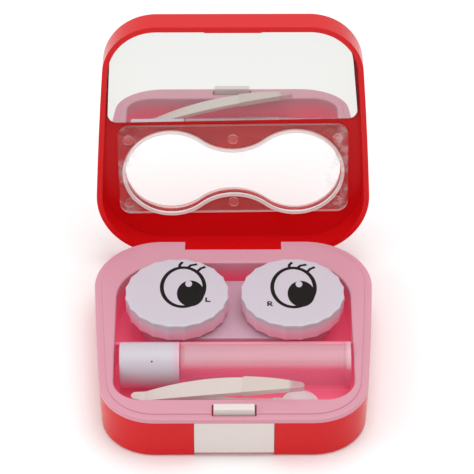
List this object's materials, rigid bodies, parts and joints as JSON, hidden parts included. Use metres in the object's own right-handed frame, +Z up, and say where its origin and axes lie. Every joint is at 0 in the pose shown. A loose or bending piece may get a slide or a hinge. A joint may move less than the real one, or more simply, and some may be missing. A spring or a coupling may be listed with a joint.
{
  "type": "contact lens travel case",
  "caption": "Hinged travel case for contact lenses: mirrored lid with a window, and a tray holding a lens case, solution bottle, tweezers and applicator.",
  "frame": {"origin": "centre of the base's underside", "axes": "+Z up, +Y towards the hinge, +X to the right as the user faces the latch"},
  "size_m": [0.0706, 0.0877, 0.0716],
  "materials": {
    "red_shell": "gloss",
    "pink_liner": "satin",
    "steel": "satin",
    "white_button": "satin",
    "clear_panel": "clear moulded plastic",
    "mirror_glass": "mirror",
    "foam_tape": "matt",
    "milky_plastic": "translucent",
    "cap_white": "satin",
    "seal": "matt",
    "bottle_plastic": "translucent",
    "tool_white": "satin",
    "soft_tip": "soft translucent",
    "soft_cup": "soft translucent"
  },
  "bodies": {
    "case": {"base_shell": "red_shell", "inner_tray": "pink_liner", "hinge_pin": "steel", "latch_spring": "steel", "lens_case_body": "milky_plastic", "bottle_body": "bottle_plastic", "bottle_nozzle": "milky_plastic", "tweezer_lower_arm": "tool_white", "tweezer_tip_lower": "soft_tip", "applicator_stick": "tool_white", "suction_cup": "soft_cup"},
    "lid": {"lid_shell": "red_shell", "lid_mirror": "mirror_glass", "mirror_tape": "foam_tape", "window_panel": "clear_panel"},
    "latch": {"latch_button": "white_button"},
    "left_seal": {"cap_seal_left": "seal"},
    "left_cap": {"lens_cap_left": "cap_white"},
    "right_seal": {"cap_seal_right": "seal"},
    "right_cap": {"lens_cap_right": "cap_white"},
    "bottle_seal": {"bottle_liner": "seal"},
    "bottle_top": {"bottle_cap": "cap_white"},
    "tweezer_arm": {"tweezer_upper_arm": "tool_white", "tweezer_tip_upper": "soft_tip"}
  },
  "joints": [
    {"name": "lid_hinge", "type": "hinge", "parent": "case", "child": "lid", "pos_m": [0, 0.03235, 0.0068], "axis": [1, 0, 0], "range_deg": [0, 97]},
    {"name": "latch_press", "type": "slide", "parent": "case", "child": "latch", "axis": [0, 1, 0], "range_m": [0, 0.0006], "stiffness_N_per_m": 1500, "springref_m": -0.0003, "deforming": ["latch_spring"]},
    {"name": "left_cap_turn", "type": "hinge", "parent": "left_seal", "child": "left_cap", "pos_m": [-0.0143, 0.0112, 0.0121], "axis": [0, 0, 1], "range_deg": [0, 288.5]},
    {"name": "left_cap_lift", "type": "slide", "parent": "case", "child": "left_seal", "axis": [0, 0, 1], "range_m": [0, 0.0024]},
    {"name": "right_cap_turn", "type": "hinge", "parent": "right_seal", "child": "right_cap", "pos_m": [0.015, 0.0112, 0.0121], "axis": [0, 0, 1], "range_deg": [0, 288.5]},
    {"name": "right_cap_lift", "type": "slide", "parent": "case", "child": "right_seal", "axis": [0, 0, 1], "range_m": [0, 0.0024]},
    {"name": "bottle_cap_turn", "type": "hinge", "parent": "bottle_seal", "child": "bottle_top", "pos_m": [-0.021, -0.0094, 0.0082], "axis": [-1, 0, 0], "range_deg": [0, 90.5]},
    {"name": "bottle_cap_slide", "type": "slide", "parent": "case", "child": "bottle_seal", "axis": [-1, 0, 0], "range_m": [0, 0.0005]},
    {"name": "tweezer_squeeze", "type": "hinge", "parent": "case", "child": "tweezer_arm", "pos_m": [-0.02181, -0.02092, 0.00765], "axis": [0.0906, 0.9959, 0], "range_deg": [0, 9], "stiffness_Nm_per_rad": 0.3, "springref_deg": -0.57}
  ],
  "couplings": [
    {"joint": "left_cap_turn", "follows": "left_cap_lift", "rad_per_m": 2094.4},
    {"joint": "right_cap_turn", "follows": "right_cap_lift", "rad_per_m": 2094.4},
    {"joint": "bottle_cap_turn", "follows": "bottle_cap_slide", "rad_per_m": 3141.6}
  ]
}
